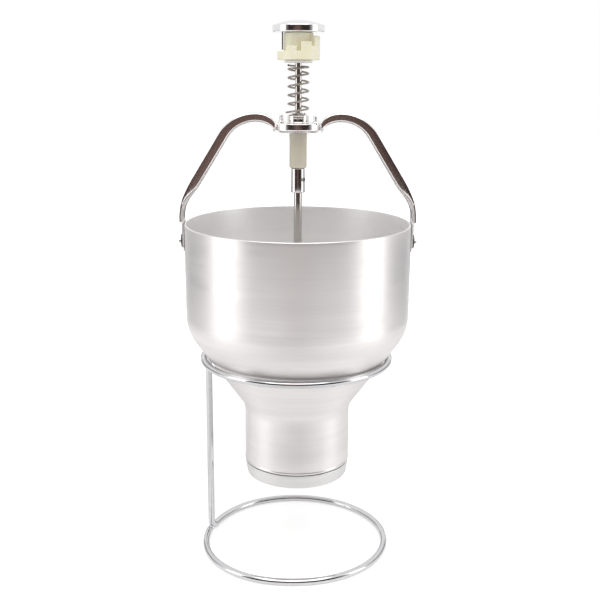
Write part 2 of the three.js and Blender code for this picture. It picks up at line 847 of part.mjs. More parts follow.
function coupling() {
  const body = toSolid(turned([
    [coupling_radius - coupling_edge, coupling_bottom],
    [coupling_radius, coupling_bottom + coupling_edge],
    [coupling_radius, coupling_top - coupling_edge],
    [coupling_radius - coupling_edge, coupling_top],
  ], small_sides));
  const split = (upper_rod_bottom + lower_rod_top) / 2;
  const upper = rodGeometry(upper_rod_radius + press_gap, split, coupling_top + overrun, small_sides);
  const lower = rodGeometry(lower_rod_radius + press_gap, coupling_bottom - overrun, split, small_sides);
  const hole = couplingScrewSolid(coupling_screw_radius + press_gap, lower_rod_radius / 2,
    coupling_radius + overrun);
  return toGeometry(body.subtract(toSolid(upper).add(toSolid(lower)).add(toSolid(hole))));
}

addPiece('coupling', coupling(), chrome);
addPiece('coupling_screw', couplingScrewSolid(coupling_screw_radius,
  lower_rod_radius + seat_gap, coupling_radius + coupling_screw_proud), steel);

// Plunger head: nut, piston, spacer, closing disc and end nut, threaded on the lower rod
function hexNut(bottom, height) {
  const corner = nut_across_flats / Math.sqrt(3);
  const nut = toSolid(rodGeometry(corner, bottom, bottom + height, 6));
  const bore = rodGeometry(lower_rod_radius + press_gap, bottom - overrun,
    bottom + height + overrun, small_sides);
  return toGeometry(nut.subtract(toSolid(bore)));
}

const head_bore = lower_rod_radius + press_gap;
const plunger_radius = liner_bore_radius - running_gap;

function piston() {
  const edge = piston_edge_rounding;
  return turned([
    [plunger_radius, piston_bottom],
    [plunger_radius, piston_top - edge],
    [plunger_radius - edge, piston_top],
    [head_bore, piston_top],
    [head_bore, piston_bottom],
  ], large_sides, true);
}

addPiece('piston_nut', hexNut(piston_top + seat_gap, nut_height), steel);
addPiece('piston', piston(), white_plastic);
addPiece('piston_spacer', ringGeometry(head_bore, spacer_radius,
  disc_top + seat_gap, piston_bottom - seat_gap, small_sides), steel);
addPiece('closing_disc',
  ringGeometry(head_bore, plunger_radius, disc_bottom, disc_top, large_sides), steel);
addPiece('end_nut', hexNut(disc_bottom - seat_gap - end_nut_height, end_nut_height), steel);

export default dispenser;
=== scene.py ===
"""The looks of a batter dispenser: a spun hopper, its handle and plunger, and its wire stand."""

import json
import math

import bmesh
import bpy
import numpy as np
from mathutils import Matrix


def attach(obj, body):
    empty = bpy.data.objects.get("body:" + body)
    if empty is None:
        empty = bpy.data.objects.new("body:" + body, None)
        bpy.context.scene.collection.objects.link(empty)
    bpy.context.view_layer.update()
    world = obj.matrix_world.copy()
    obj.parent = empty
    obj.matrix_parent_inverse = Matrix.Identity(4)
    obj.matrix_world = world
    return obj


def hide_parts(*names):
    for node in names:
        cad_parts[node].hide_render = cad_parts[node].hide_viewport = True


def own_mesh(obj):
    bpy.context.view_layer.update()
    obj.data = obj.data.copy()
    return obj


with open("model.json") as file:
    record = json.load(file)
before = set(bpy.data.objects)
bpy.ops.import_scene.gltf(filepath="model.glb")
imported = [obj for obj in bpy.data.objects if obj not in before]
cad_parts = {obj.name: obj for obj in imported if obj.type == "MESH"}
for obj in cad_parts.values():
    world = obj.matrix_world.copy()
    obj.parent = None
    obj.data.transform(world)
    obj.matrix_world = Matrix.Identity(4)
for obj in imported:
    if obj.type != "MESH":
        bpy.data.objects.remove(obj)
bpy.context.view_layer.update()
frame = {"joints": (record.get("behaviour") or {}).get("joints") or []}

# Sizes are in millimetres. Angles are in degrees, or in radians where math.radians makes them
MM = 0.001
seat_gap = 0.3

# How far each slide of the frame goes
slide_travel = {joint["name"]: joint["range_m"][1] / MM for joint in frame["joints"] if "range_m" in joint}

# Edge roundings, and the slope at the sides of a groove
hair_edge = 0.1
crisp_edge = 0.2
fine_edge = 0.3
small_edge = 0.4
even_edge = 0.5
soft_edge = 0.6
round_edge = 0.8
broad_edge = 1
groove_slope = 0.3

# Wire stand
wire_radius = 3.15
ring_radius = 84.2
support_ring_height = 184.8
post_angle = 169
post_bend_radius = 10
ring_end_gap_angle = 0.8
base_wire_height = wire_radius * math.cos(math.pi / 8)

# The stand as bent: its ring and its carrying ring stand to the left, its post to the right
ring_shift = 0.8
post_shift = 0.6
post_shift_angles = (100, 160)
ring_bulge = 2.8
bulge_rise_angles = (-190, -140)
bulge_fade_angles = (-128, -84)
bulge_start_share = 0.15
ring_sag = 1.1

# Hopper
hopper_radius = 100
hopper_wall = 1.6
straight_wall_height = 81.7
corner_radius = 40
cone_angle = math.radians(35.7)
neck_radius = 47.9
neck_fillet_radius = 20.6
hopper_height = 220.5
rim_height = 307.28
neck_end = rim_height - hopper_height
rim_dip = 1.3

# Outlet
seal_space = 1.1
band_height = 12.5
cap_shoulder = neck_end - seal_space
outlet_height = cap_shoulder - band_height
liner_bore = 28
plunger_radius = 27.7
press_stroke = slide_travel["plunger_press"]
disc_bottom = outlet_height + 0.6
piston_bottom = disc_bottom + press_stroke

# Handle
plate_height = rim_height + 83.7
plate_radius = 22.4
plate_thickness = 7.5
plate_top = plate_height + plate_thickness / 2
plate_bottom = plate_height - plate_thickness / 2
plate_sink = 1.1
arm_width = 19
arch_thickness = 7.5
slope_thickness = 8.8
arch_rise = 7.6
arch_reach = 36.5
arch_radius = 33.3
shoulder_reach = 17
shoulder_depth = 11
arm_slope = math.radians(58.4)
arm_bend_radius = 38
foot_thickness = 3.6
lug_thickness = 1.8
lug_end_radius = 9.3
lug_step_height = 1.6
arm_taper_length = 26
pivot_height = rim_height - 17.1
foot_centre = hopper_radius + seat_gap + foot_thickness / 2
lug_centre = hopper_radius + seat_gap + lug_thickness / 2
lug_face = lug_centre + lug_thickness / 2
lug_shoulder = rim_height + 1.2
pivot_pin_radius = 1.9
screw_angle = math.radians(-42)
screw_circle = 20

# Plunger, spring and selector
upper_rod_radius = 2.9
lower_rod_radius = 3.6
rod_bore = upper_rod_radius + 0.3
bush_bottom = plate_top + seat_gap
bush_top = bush_bottom + 7.3
bush_spigot_radius = 5.6
bush_spigot_bottom = bush_bottom - plate_thickness - 9
spring_wire = 0.8
spring_mean_radius = 8.65
spring_bottom = bush_top + seat_gap
spring_length = 39.6
spring_turns = 6
spring_end_pitch = 3.2
washer_radius = 12
washer_thickness = 2
washer_bottom = bush_top + spring_length + 2 * (seat_gap + spring_wire)
selector_bottom = washer_bottom + washer_thickness + seat_gap
selector_radius = 18.2
selector_core = 12.6
selector_core_height = 22.1
lowest_tread = 7.3
tread_edges = (-125, -95, -83, -53, -41, 72)
tread_heights = (11.4, 7.3, 15, 11.4, 19.8, 7.3)
knob_bottom = selector_bottom + selector_core_height + 0.6
knob_radius = 22.4
knob_pin_angle = math.radians(-161)
knob_pin_circle = 14.3
sleeve_top = plate_bottom - seat_gap
sleeve_bottom = sleeve_top - 31.6
coupling_top = sleeve_bottom - seat_gap
coupling_bottom = coupling_top - 21.4


# Materials

def set_inputs(tree, made, inputs):
    """Links or sets a node's inputs by name or number."""
    for key, value in inputs.items():
        if isinstance(value, bpy.types.NodeSocket):
            tree.links.new(value, made.inputs[key])
        else:
            made.inputs[key].default_value = value


def new_material(name, colour, roughness, metallic):
    """A material with its shader and the tree that its other nodes go into."""
    material = bpy.data.materials.new(name)
    material.use_nodes = True
    tree = material.node_tree
    shader = tree.nodes["Principled BSDF"]
    set_inputs(tree, shader, {"Base Color": (*colour, 1), "Roughness": roughness, "Metallic": metallic})
    return material, tree, shader


def node(tree, kind, inputs, **settings):
    """Adds a shader node of a kind, sets its options, then its inputs."""
    made = tree.nodes.new("ShaderNode" + kind)
    for key, value in settings.items():
        setattr(made, key, value)
    set_inputs(tree, made, inputs)
    return made


def arithmetic(tree, operation, *values):
    """A value worked out from one or two others."""
    return node(tree, "Math", dict(enumerate(values)), operation=operation).outputs[0]


def object_place(tree):
    """The object's own coordinates."""
    return node(tree, "TexCoord", {}).outputs["Object"]


def turned_coordinates(tree, around, along):
    """Object coordinates stretched so that a noise runs in fine lines round the upright axis."""
    place = object_place(tree)
    flat = node(tree, "VectorMath", {0: place, 1: (1, 1, 0)}, operation="MULTIPLY").outputs[0]
    reach = node(tree, "VectorMath", {0: flat}, operation="LENGTH").outputs["Value"]
    height = node(tree, "SeparateXYZ", {0: place}).outputs["Z"]
    line = arithmetic(tree, "MULTIPLY", arithmetic(tree, "ADD", reach, height), along)
    spread = node(tree, "VectorMath", {0: flat, "Scale": around}, operation="SCALE").outputs[0]
    sides = node(tree, "SeparateXYZ", {0: spread}).outputs
    return node(tree, "CombineXYZ", {0: sides["X"], 1: sides["Y"], 2: line}).outputs[0]


def ramp(tree, value, low, high, from_low=0.3, from_high=0.7):
    """Maps a range of a value, which for a noise is its usual one, onto another range."""
    sockets = {0: value, 1: from_low, 2: from_high, 3: low, 4: high}
    return node(tree, "MapRange", sockets).outputs[0]


def mixed(tree, share, first, second):
    """Blends two colours by a value."""
    sockets = {"Factor": share, "A": (*first, 1), "B": (*second, 1)}
    return node(tree, "Mix", sockets, data_type="RGBA").outputs["Result"]


def noise(tree, place, scale, detail, roughness=0.5):
    """A noise over the given coordinates."""
    sockets = {"Vector": place, "Scale": scale, "Detail": detail, "Roughness": roughness}
    return node(tree, "TexNoise", sockets).outputs[0]


def bumped(tree, height, strength, depth):
    """The normal of a surface raised by a noise, up to a depth in metres."""
    sockets = {"Strength": strength, "Distance": depth, "Height": height}
    return node(tree, "Bump", sockets).outputs[0]


def brushed(name, dark, light, rough, lines, depth, pull, metal=1):
    """Metal finished in a lathe: fine lines run round it, and its gloss is drawn out across them."""
    both_range = 0.8, 1.2
    material, tree, shader = new_material(name, light, rough, metal)
    fine = noise(tree, turned_coordinates(tree, 6, lines), 1, 4, 0.6)
    broad = noise(tree, turned_coordinates(tree, 9, lines / 30), 1, 3)
    both = arithmetic(tree, "ADD", fine, broad)
    set_inputs(tree, shader, {
        "Base Color": mixed(tree, ramp(tree, both, 0, 1, *both_range), dark, light),
        "Roughness": ramp(tree, both, rough * 1.15, rough * 0.85, *both_range),
        "Normal": bumped(tree, fine, depth, 0.00005),
        "Anisotropic": pull,
        "Anisotropic Rotation": 0.25,
        "Tangent": node(tree, "Tangent", {}, direction_type="RADIAL", axis="Z").outputs[0],
    })
    return material


def polished(name, colour, rough, wave, scale=160, detail=5, spread=(0.7, 1.5)):
    """Bright metal with faint wipe marks and a slightly uneven gloss."""
    material, tree, shader = new_material(name, colour, rough, 1)
    place = object_place(tree)
    marks = noise(tree, place, scale, detail, 0.6)
    swell = noise(tree, place, scale / 5, 2)
    low, high = spread
    worn = tuple(c * 0.9 for c in colour)
    set_inputs(tree, shader, {
        "Base Color": mixed(tree, ramp(tree, marks, 0, 1), worn, colour),
        "Roughness": ramp(tree, marks, rough * low, rough * high),
        "Normal": bumped(tree, swell, wave, 0.0001),
    })
    return material


def plastic(name, colour, shade, rough, glow, depth=0.12):
    """Moulded plastic, slightly clouded, with a fine grain."""
    material, tree, shader = new_material(name, colour, rough, 0)
    place = object_place(tree)
    cloud = noise(tree, place, 90, 3)
    grain = noise(tree, place, 1800, 2)
    set_inputs(tree, shader, {
        "Base Color": mixed(tree, ramp(tree, cloud, 0, 1), shade, colour),
        "Roughness": ramp(tree, grain, rough * 0.9, rough * 1.15),
        "Normal": bumped(tree, grain, depth, 0.00006),
        "Subsurface Weight": glow,
        "Subsurface Radius": (1, 0.8, 0.5),
        "Subsurface Scale": 0.004,
    })
    return material


spun = brushed("spun_aluminium", (0.8, 0.773, 0.765), (0.84, 0.812, 0.803), 0.39, 2600, 0.1, 0.5)
# The hopper's inside: the same aluminium, rougher and partly non-metallic, in a lighter colour that is
# painted light for the inside lit from above
spun_painted_lit_inside = brushed("spun_aluminium_painted_lit_inside", (0.91, 0.9, 0.895), (0.95, 0.94, 0.935), 0.42, 2600,
                      0.1, 0.6, 0.8)
lathed = brushed("turned_aluminium", (0.73, 0.72, 0.715), (0.77, 0.76, 0.755), 0.36, 3200, 0.08, 0.5)
chrome = polished("chrome_plate", (0.68, 0.68, 0.69), 0.045, 0.05)
bright = polished("polished_casting", (0.84, 0.83, 0.83), 0.09, 0.12)
cast = polished("buffed_casting", (0.88, 0.85, 0.84), 0.13, 0.03, 40, 0, (0.94, 1.08))
turned_cast = polished("turned_casting", (0.82, 0.8, 0.79), 0.15, 0.08)
steel = polished("bright_steel", (0.62, 0.59, 0.56), 0.16, 0.1, 400)
dark_steel = polished("spring_steel", (0.3, 0.27, 0.24), 0.2, 0.1, 500)
black_steel = polished("black_steel", (0.1, 0.095, 0.09), 0.35, 0.1, 400)
satin = polished("satin_zinc", (0.88, 0.88, 0.88), 0.42, 0.1, 500)
cream = plastic("cream_plastic", (0.97, 0.925, 0.74), (0.95, 0.885, 0.66), 0.42, 0.4)
grey_nylon = plastic("grey_nylon", (0.73, 0.68, 0.56), (0.69, 0.64, 0.52), 0.4, 0.2)
white_nylon = plastic("white_nylon", (0.97, 0.965, 0.95), (0.93, 0.925, 0.91), 0.42, 0.2)
rubber = plastic("seal_rubber", (0.28, 0.28, 0.28), (0.24, 0.24, 0.24), 0.7, 0, 0.3)


# Surfaces

def grid_faces(rows, columns, wrap_rows=False):
    """Quads between neighbouring rings of points. The rings close round; the rows may close too."""
    i = np.arange(rows if wrap_rows else rows - 1)[:, None]
    j = np.arange(columns)[None, :]
    here, over = i * columns, ((i + 1) % rows) * columns
    beside = (j + 1) % columns
    return np.stack([here + j, over + j, over + beside, here + beside], -1).reshape(-1, 4).tolist()


def capped(rows, columns):
    """Faces of an open tube with a flat face at each end."""
    ends = [list(range(columns)), list(range((rows - 1) * columns, rows * columns))]
    return grid_faces(rows, columns) + ends


def solid(name, points, faces, material, body, nodes=(), crease=35):
    """A piece from points in millimetres: welded, faced outward, smooth but for its edges."""
    weld_distance = 1e-6
    mesh = bpy.data.meshes.new(name)
    mesh.from_pydata((np.asarray(points, float).reshape(-1, 3) * MM).tolist(), [], faces)
    work = bmesh.new()
    work.from_mesh(mesh)
    bmesh.ops.remove_doubles(work, verts=work.verts, dist=weld_distance)
    bmesh.ops.recalc_face_normals(work, faces=work.faces)
    work.to_mesh(mesh)
    work.free()
    mesh.shade_smooth()
    mesh.set_sharp_from_angle(angle=math.radians(crease))
    mesh.materials.append(material)
    piece = bpy.data.objects.new(name, mesh)
    bpy.context.scene.collection.objects.link(piece)
    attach(piece, body)
    if nodes:
        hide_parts(*nodes)
    return piece


def softened(corners, closed=True, steps=5):
    """A profile whose corners, given as (radius, height, rounding), become arcs of that rounding. Each arc
    starts at the rounding over the tangent of half the corner's angle, but within half the shorter side."""
    nearly_straight = 0.01
    longest_share = 0.49
    corners = [tuple(c) + (0,) * (3 - len(c)) for c in corners]
    count = len(corners)
    profile = []
    for k, (r, z, rounding) in enumerate(corners):
        here = np.array([r, z], float)
        ends = not closed and k in (0, count - 1)
        if rounding <= 0 or ends:
            profile.append(here)
            continue
        before = np.array(corners[k - 1][:2]) - here
        after = np.array(corners[(k + 1) % count][:2]) - here
        lengths = np.linalg.norm(before), np.linalg.norm(after)
        before, after = before / lengths[0], after / lengths[1]
        half = math.acos(float(np.clip(before @ after, -1, 1))) / 2
        if half > math.pi / 2 - nearly_straight:
            profile.append(here)
            continue
        reach = min(rounding / math.tan(half), longest_share * min(lengths))
        true = reach * math.tan(half)
        centre = here + (before + after) / np.linalg.norm(before + after) * true / math.sin(half)
        start, end = here + before * reach - centre, here + after * reach - centre
        share = np.linspace(0, 1, steps)[:, None]
        arc = start * (1 - share) + end * share
        arc *= true / np.linalg.norm(arc, axis=1)[:, None]
        profile.extend(centre + arc)
    return np.array(profile)


def ring_corners(inner, outer, bottom, top, *edges):
    """Corners of a plain ring or rod, from the inner one at the foot round to the inner one at the top."""
    return list(zip((inner, outer, outer, inner), (bottom, bottom, top, top), edges))


def about_axis(radius, angle, height):
    """Points about the upright axis: the radius times the angle's cosine and sine, and the height."""
    return np.stack(np.broadcast_arrays(radius * np.cos(angle), radius * np.sin(angle), height), -1)


def spun_points(profile, sides):
    """Rings of the profile turned round the upright axis."""
    angle = np.linspace(0, 2 * math.pi, sides, endpoint=False)
    r, z = np.asarray(profile, float).T[..., None]
    return about_axis(r, angle, z)


def turned(name, corners, material, body, nodes=(), sides=64, closed=True, place=(0, 0, 0), turn=None):
    """A turned piece: its softened profile goes round an axis, which may be turned and moved."""
    profile = softened(corners, closed)
    points = spun_points(profile, sides)
    faces = grid_faces(len(profile), sides, closed)
    if turn is not None:
        points = points @ np.array(turn.to_3x3()).T
    return solid(name, points + np.array(place), faces, material, body, nodes)


def unit(vectors):
    """The same vectors at length one."""
    return vectors / np.linalg.norm(vectors, axis=-1, keepdims=True)


def swept(path, reference, across, through, closed=False):
    """Sections along a path. Each section's points are an offset along the reference, levelled square
    to the path, and an offset square to both."""
    if closed:
        tangent = unit(np.roll(path, -1, 0) - np.roll(path, 1, 0))
    else:
        tangent = unit(np.gradient(path, axis=0))
    level = unit(reference - (reference * tangent).sum(-1, keepdims=True) * tangent)
    side = np.cross(tangent, level)
    return path[:, None] + across[..., None] * level[:, None] + through[..., None] * side[:, None]


def bar(path, reference, radius, sides=20, closed=False):
    """Points of a round bar; the radius may change along it."""
    angle = np.linspace(0, 2 * math.pi, sides, endpoint=False)
    radius = np.broadcast_to(np.asarray(radius, float), (len(path),))[:, None]
    return swept(path, reference, radius * np.cos(angle), radius * np.sin(angle), closed)


def outward(path):
    """For each point, the level direction away from the upright axis."""
    return unit(path * np.array([1, 1, 0]))


def eased(value, start, end):
    """0 before the start and 1 after the end, with a smooth rise between them."""
    share = np.clip((value - start) / (end - start), 0, 1)
    return share * share * (3 - 2 * share)


# Stand

def ring_path(radius, height, start, end, steps):
    """Points on a level arc between two angles."""
    return about_axis(radius, np.radians(np.linspace(start, end, steps)), height)


def base_wire():
    """One wire: a butt end, once round the base, a bend up and the post. As bent, the ring stands a little
    to the left of the post's foot and bulges where it starts. Its underside is cut flat at the floor."""
    steps = 240
    butt_share = 0.86
    post_top = support_ring_height - wire_radius * 0.8
    start = post_angle + ring_end_gap_angle - 360
    end = post_angle - math.degrees(post_bend_radius / ring_radius)
    run = ring_path(ring_radius, base_wire_height, start, end, steps)
    angle = np.linspace(start, end, steps)
    near_post = eased(angle, *post_shift_angles)
    run[:, 0] += post_shift * near_post - ring_shift * (1 - near_post)
    risen = bulge_start_share + (1 - bulge_start_share) * eased(angle, *bulge_rise_angles)
    run += outward(run) * (ring_bulge * (1 - eased(angle, *bulge_fade_angles)) * risen)[:, None]
    heading = unit(np.array([-run[-1, 1], run[-1, 0], 0]))
    turn = np.linspace(0, math.pi / 2, 17)[1:, None]
    upward = np.array([0, 0, 1])
    bend = run[-1] + post_bend_radius * (heading * np.sin(turn) + upward * (1 - np.cos(turn)))
    post = np.linspace(bend[-1], [*bend[-1][:2], post_top], 12)[1:]
    path = np.concatenate([run, bend, post])
    radius = np.full(len(path), wire_radius)
    radius[0] = wire_radius * butt_share
    points = bar(path, outward(path), radius, 24)
    points[..., 2] = np.maximum(points[..., 2], 0)
    return points


def weld_bead(name, centre, size, seed):
    """A small uneven bead of weld: a ball whose radius has a few slow waves round it and down it."""
    up = np.linspace(0, math.pi, 25)[:, None]
    turn = np.linspace(0, 2 * math.pi, 32, endpoint=False)[None, :]
    wave = 1 + 0.07 * np.sin(3 * turn + seed) * np.sin(up) ** 2 + 0.05 * np.sin(4 * up + seed) * np.sin(up)
    ball = np.stack([np.sin(up) * np.cos(turn), np.sin(up) * np.sin(turn), np.cos(up) + 0 * turn], -1)
    points = np.array(centre) + ball * wave[..., None] * np.array(size)
    return solid(name, points, grid_faces(25, 32), chrome, "stand", crease=80)


wire = base_wire()
solid("base_ring_and_post", wire, capped(*wire.shape[:2]), chrome, "stand", ["base_wire"])
carrying_height = support_ring_height - ring_sag
ring = ring_path(ring_radius, carrying_height, 0, 360, 241)[:-1] - [ring_shift, 0, 0]
hoop = bar(ring, outward(ring), wire_radius, 24, closed=True)
solid("carrying_ring", hoop, grid_faces(240, 24, True), chrome, "stand", ["support_ring"])

foot_weld_angle = post_angle + 0.6
foot_weld_height = base_wire_height + 0.9
foot_weld = ring_path(ring_radius + 0.5, foot_weld_height, foot_weld_angle, foot_weld_angle, 1)[0]
weld_bead("foot_weld", foot_weld, (3.0, 2.4, 2.6), 1.0)
ring_weld = ring_path(ring_radius, carrying_height - wire_radius, post_angle, post_angle, 1)[0]
weld_bead("ring_weld", ring_weld, (3.5, 3.7, 1.3), 2.0)


# Hopper

def hopper_line(inset):
    """The wall's line from the straight side to the neck's end, moved inward by the inset: an arc, the
    cone's slope and an arc the other way."""
    corner_centre = np.array([hopper_radius - corner_radius, rim_height - straight_wall_height])
    turn = np.linspace(0, -cone_angle, 14)
    corner = corner_centre + (corner_radius - inset) * np.stack([np.cos(turn), np.sin(turn)], -1)
    fillet = neck_fillet_radius + inset
    centre_r = neck_radius + neck_fillet_radius
    start_r = centre_r - fillet * math.cos(cone_angle)
    start_z = corner[-1, 1] - (corner[-1, 0] - start_r) / math.tan(cone_angle)
    centre_z = start_z - fillet * math.sin(cone_angle)
    turn = np.linspace(math.pi - cone_angle, math.pi, 12)
    throat = np.array([centre_r, centre_z]) + fillet * np.stack([np.cos(turn), np.sin(turn)], -1)
    slope = np.linspace(corner[-1], throat[0], 8)[1:-1]
    return np.concatenate([corner, slope, throat])


def hopper_shell():
    """Rim with a rolled lip, straight wall, corner, cone and neck with a small bead at its end, then back
    up inside."""
    lip_height = 5
    lip_rounding = 0.9
    end_height = 4
    bead_top, bead_bottom = 2.1, 1.3
    bead_height = 0.35
    end_rounding = 0.35
    inside = hopper_radius - hopper_wall
    neck_inside = neck_radius - hopper_wall
    lip = softened([
        (inside, rim_height - lip_height),
        (inside, rim_height, soft_edge),
        (hopper_radius, rim_height, lip_rounding),
        (hopper_radius, rim_height - lip_height),
    ], closed=False, steps=7)
    end = softened([
        (neck_radius, neck_end + end_height),
        (neck_radius, neck_end + bead_top, round_edge),
        (neck_radius + bead_height, neck_end + bead_bottom, even_edge),
        (neck_radius + 0.2, neck_end, end_rounding),
        (neck_inside, neck_end, crisp_edge),
        (neck_inside, neck_end + end_height),
    ], closed=False)
    return np.concatenate([lip, hopper_line(0), end, hopper_line(hopper_wall)[::-1]])


def spun_hopper():
    """The shell, whose rim dips to the front. Its faces that look inward get a lighter, rougher, partly
    matt copy of the aluminium, whose lighter colour is painted light for the inside lit from above.
    """
    sides = 256
    profile = hopper_shell()
    points = spun_points(profile, sides)
    risen = eased(points[..., 2], rim_height - straight_wall_height, rim_height)
    points[..., 2] += rim_dip * points[..., 1] / hopper_radius * risen
    faces = grid_faces(len(profile), sides, True)
    shell = solid("spun_hopper", points, faces, spun, "hopper", ["hopper_shell"], 50)
    polygons = shell.data.polygons
    # Inward faces take the lighter copy: painted light for the lit inside
    shell.data.materials.append(spun_painted_lit_inside)
    centres = np.empty(len(polygons) * 3)
    normals = np.empty(len(polygons) * 3)
    polygons.foreach_get("center", centres)
    polygons.foreach_get("normal", normals)
    outwardness = (centres.reshape(-1, 3)[:, :2] * normals.reshape(-1, 3)[:, :2]).sum(1)
    polygons.foreach_set("material_index", (outwardness < 0).astype(int))


spun_hopper()

# Outlet: the seal, the cap with its spigot inside the neck, and the liner
spigot_radius = neck_radius - hopper_wall - 0.15
spigot_top = cap_shoulder + 16.5
spigot_wall = 2
liner_wall = 2
liner_top = outlet_height + 10.5
cap_bore = liner_bore + liner_wall + 0.15
band_foot_radius = neck_radius - 1.9
band_lean_height = 3.5
seal_bottom, seal_top = neck_end - 0.95, neck_end - 0.15
seal_inner, seal_outer = spigot_radius + 0.3, neck_radius - 0.7
seal_corners = ring_corners(seal_inner, seal_outer, seal_bottom, seal_top, 0, fine_edge, fine_edge, 0)
turned("neck_seal", seal_corners, rubber, "hopper", ["cap_seal"], 160)
turned("outlet_band", [
    (neck_radius, cap_shoulder, even_edge),
    (neck_radius - 0.5, cap_shoulder - band_lean_height, 4),
    (band_foot_radius, outlet_height, 1.6),
    (cap_bore, outlet_height, small_edge),
    (cap_bore, liner_top, soft_edge),
    (spigot_radius - spigot_wall, spigot_top, soft_edge),
    (spigot_radius, spigot_top, even_edge),
    (spigot_radius, cap_shoulder),
], lathed, "hopper", ["outlet_cap"], 192)
liner_corners = ring_corners(liner_bore, liner_bore + liner_wall, outlet_height, liner_top,
                             even_edge, fine_edge, fine_edge, 0.7)
turned("liner_sleeve", liner_corners, steel, "hopper", ["outlet_liner"], 160)


# Handle

root_start = 6
root_reach = 14


def arm_line():
    """Middle line of one arm as (reach, height): a shoulder, which is a part of an ellipse, then the arch,
    the slope, the bend and the lug."""
    arch_top = plate_height + arch_rise
    root_height = plate_height - plate_sink
    end_share = 0.9995
    turn = np.linspace(math.asin(1 - arch_rise / shoulder_depth), math.pi / 2, 19)[:-1]
    shoulder = np.stack([arch_reach - shoulder_reach * np.cos(turn),
                         arch_top - shoulder_depth * (1 - np.sin(turn))], -1)
    turn = np.linspace(0, arm_slope, 22)
    arch = np.stack([arch_reach + arch_radius * np.sin(turn),
                     arch_top - arch_radius * (1 - np.cos(turn))], -1)
    bend_start = foot_centre - arm_bend_radius * (1 - math.sin(arm_slope))
    fall = (bend_start - arch[-1, 0]) * math.tan(arm_slope)
    centre_z = arch[-1, 1] - fall - arm_bend_radius * math.cos(arm_slope)
    turn = np.linspace(math.pi / 2 - arm_slope, 0, 16)
    bend = np.stack([foot_centre - arm_bend_radius * (1 - np.cos(turn)),
                     centre_z + arm_bend_radius * np.sin(turn)], -1)
    slope = np.linspace(arch[-1], bend[0], 14)[1:-1]
    share = np.linspace(0, 1, 7)
    step = np.stack([foot_centre + (lug_centre - foot_centre) * share,
                     lug_shoulder - lug_step_height * share], -1)
    lug = np.linspace(step[-1], [lug_centre, pivot_height], 8)[1:]
    turn = np.linspace(0, math.pi / 2, 14)[1:]
    end = np.stack([lug_centre + 0 * turn, pivot_height - lug_end_radius * np.sin(turn) * end_share], -1)
    root = np.array([[root_start, root_height], [root_reach, root_height]], float)
    return np.concatenate([root, shoulder, arch, slope, bend, step, lug, end])


def arm_sizes(reach, height):
    """Half width and thickness along the arm: thickest on the slope, thin and round at the lug. Inside the
    plate it is a little thinner than the plate."""
    root_thickness = plate_thickness - 0.4
    below = np.clip(pivot_height - height, 0, lug_end_radius)
    share = np.clip((height - pivot_height) / arm_taper_length, 0, 1)
    straight = lug_end_radius + (arm_width / 2 - lug_end_radius) * share
    half = np.where(below > 0, np.sqrt(lug_end_radius ** 2 - below ** 2), straight)
    upper = np.clip((plate_height + arch_rise - height) / arch_radius * 2, 0, 1) * (reach >= arch_reach)
    thick = np.where(reach < root_reach + 2, root_thickness, arch_thickness)
    thick = thick + (slope_thickness - arch_thickness) * upper
    lower = eased(height, pivot_height + arm_taper_length, pivot_height + 2 * arm_taper_length)
    thick = foot_thickness + (thick - foot_thickness) * lower
    step = np.clip((lug_shoulder - height) / lug_step_height, 0, 1) * (reach > arch_reach)
    return half, thick + (lug_thickness - thick) * step


def arm_section(half, thick, height):
    """Section as (across, through) offsets. It has a small outer rounding and a larger inner one. Towards
    the foot the inner one becomes a bevel, and on the lug the bevel is outside."""
    outer_rounding, inner_rounding = 1.1, 2
    foot_edge, lug_edge = 0.35, 0.3
    bevel_width = 2.6
    bevel_share = 0.65
    widest_share = 0.45
    arm = eased(height, rim_height + 14, rim_height + 36)
    lug = np.clip((lug_shoulder - height) / lug_step_height, 0, 1)
    foot = (1 - arm) * (1 - lug)
    plain = outer_rounding * arm + foot_edge * foot
    outer = plain + bevel_width * lug, plain + (thick - lug_edge) * lug
    plain = inner_rounding * arm + lug_edge * lug
    inner = plain + bevel_width * foot, plain + bevel_share * thick * foot
    limit = half * widest_share
    outer = np.minimum(outer[0], limit)[:, None], outer[1][:, None]
    inner = np.minimum(inner[0], limit)[:, None], inner[1][:, None]
    half, top, arm = half[:, None], thick[:, None] / 2, arm[:, None]
    step = np.linspace(0, 1, 9)[None, :]
    rise = np.sin(step * math.pi / 2) * arm + step * (1 - arm)
    fall = (1 - np.cos(step * math.pi / 2)) * arm + step * (1 - arm)
    upper = half - outer[0] * (1 - rise), top - outer[1] * fall
    lower = half - inner[0] * fall, -top + inner[1] * (1 - rise)
    across = np.concatenate([upper[0], lower[0]], 1)
    through = np.concatenate([upper[1], lower[1]], 1)
    return np.concatenate([across, -across[:, ::-1]], 1), np.concatenate([through, through[:, ::-1]], 1)


def handle_arm(side):
    """One arm, mirrored for the other side. Its sections stand square to the middle line, but upright
    on the shoulder and level at the lug."""
    line = arm_line()
    half, thick = arm_sizes(line[:, 0], line[:, 1])
    across, through = arm_section(half, thick, line[:, 1])
    path = np.stack([line[:, 0], 0 * line[:, 0], line[:, 1]], -1)
    along = unit(np.gradient(path, axis=0))
    square = np.stack([-along[:, 2], 0 * along[:, 1], along[:, 0]], -1)
    square = np.where((line[:, 0] < arch_reach)[:, None], np.array([0.0, 0, 1]), square)
    square = np.where((line[:, 1] <= lug_shoulder)[:, None], np.array([1.0, 0, 0]), square)
    backward = np.array([0.0, -1, 0])
    points = path[:, None] + across[..., None] * backward + through[..., None] * square[:, None]
    return points * np.array([side, 1, 1])


def screw_place(sign):
    """Where a screw stands on the plate; the two are opposite each other."""
    return about_axis(sign * screw_circle, screw_angle, 0)


